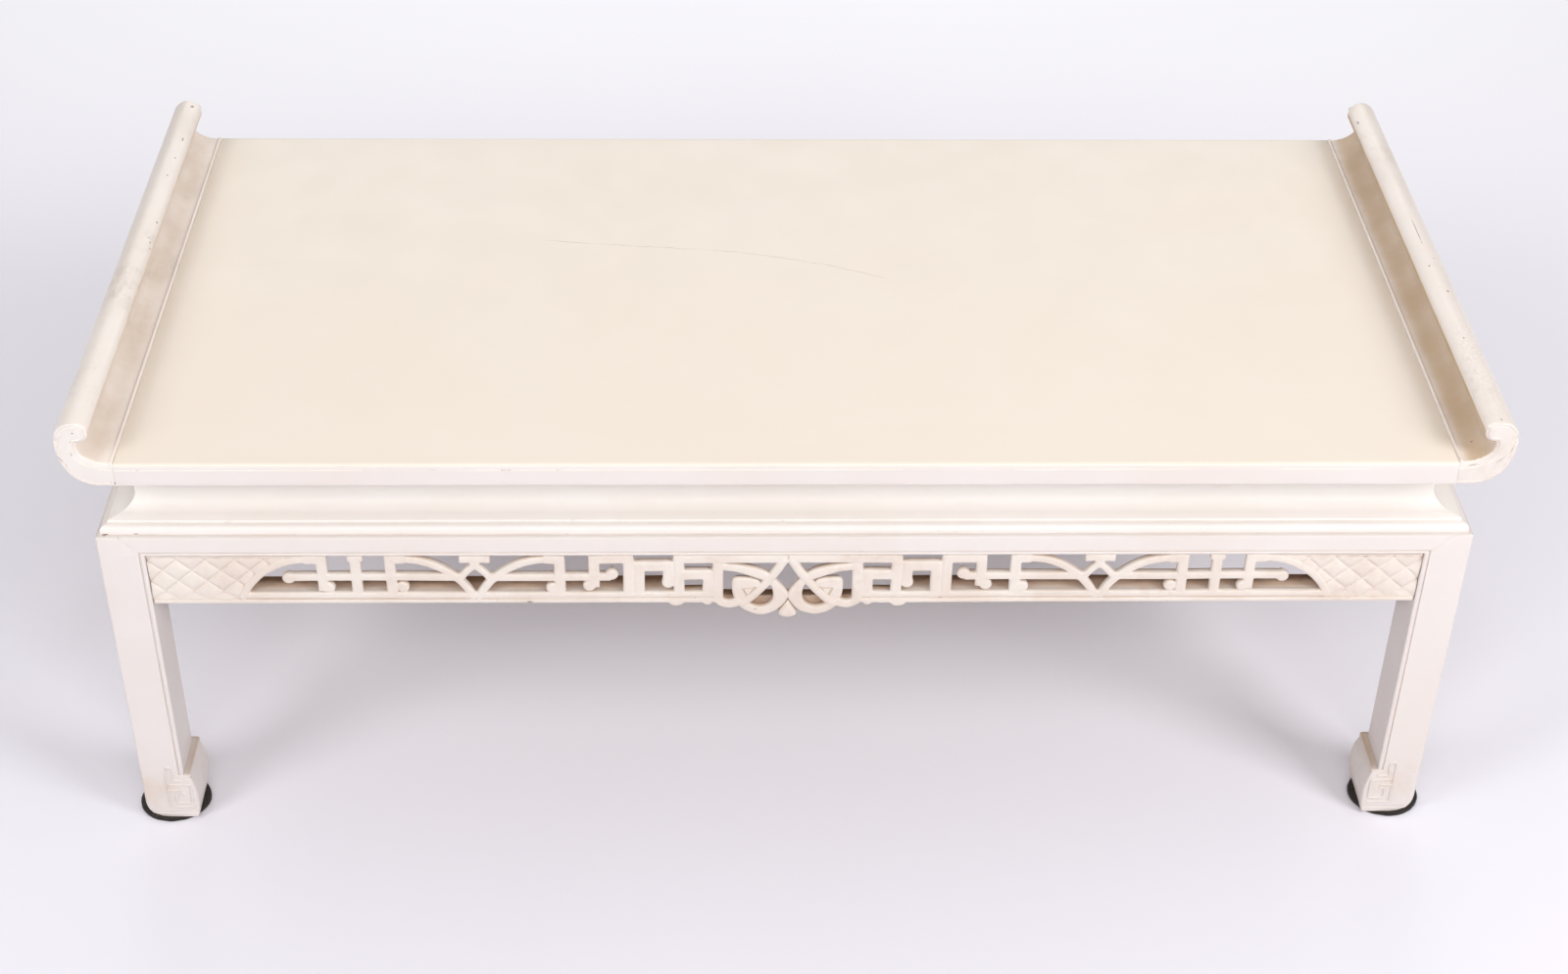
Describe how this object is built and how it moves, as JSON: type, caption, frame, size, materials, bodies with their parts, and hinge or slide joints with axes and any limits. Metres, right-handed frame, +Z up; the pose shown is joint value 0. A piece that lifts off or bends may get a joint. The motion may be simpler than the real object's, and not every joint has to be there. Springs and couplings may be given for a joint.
{
  "type": "kang table",
  "caption": "Low rectangular kang table with raised scrolled ends, a coved waist, pierced fretwork aprons and square legs on hoof feet with felt pads.",
  "frame": {"origin": "on the floor under the middle of the table", "axes": "+X along the table's length towards its right end, +Y from the front to the back, +Z up"},
  "size_m": [1.22, 0.5674, 0.4561],
  "materials": {
    "aged_lacquer_top": "satin ivory lacquer, yellowed with age",
    "aged_lacquer": "satin ivory lacquer with worn arrises and toned recesses",
    "bare_wood": "bare sawn hardwood, unfinished inside",
    "black_felt": "pressed felt with a fuzzy edge",
    "steel": "plain steel"
  },
  "bodies": {
    "root": {"top_board": "aged_lacquer_top", "scroll_end_right": "aged_lacquer", "scroll_end_left": "aged_lacquer", "cross_batten_left": "bare_wood", "cross_batten_middle": "bare_wood", "cross_batten_right": "bare_wood", "waist_front": "aged_lacquer", "waist_moulding_front": "aged_lacquer", "apron_rail_front": "aged_lacquer", "fretwork_front": "aged_lacquer", "waist_right": "aged_lacquer", "waist_moulding_right": "aged_lacquer", "apron_rail_right": "aged_lacquer", "fretwork_right": "aged_lacquer", "waist_back": "aged_lacquer", "waist_moulding_back": "aged_lacquer", "apron_rail_back": "aged_lacquer", "fretwork_back": "aged_lacquer", "waist_left": "aged_lacquer", "waist_moulding_left": "aged_lacquer", "apron_rail_left": "aged_lacquer", "fretwork_left": "aged_lacquer", "leg_front_left": "aged_lacquer", "corner_block_front_left": "bare_wood", "foot_pad_front_left": "black_felt", "leg_back_left": "aged_lacquer", "corner_block_back_left": "bare_wood", "foot_pad_back_left": "black_felt", "leg_front_right": "aged_lacquer", "corner_block_front_right": "bare_wood", "foot_pad_front_right": "black_felt", "leg_back_right": "aged_lacquer", "corner_block_back_right": "bare_wood", "foot_pad_back_right": "black_felt", "waist_screws": "steel"}
  },
  "joints": []
}
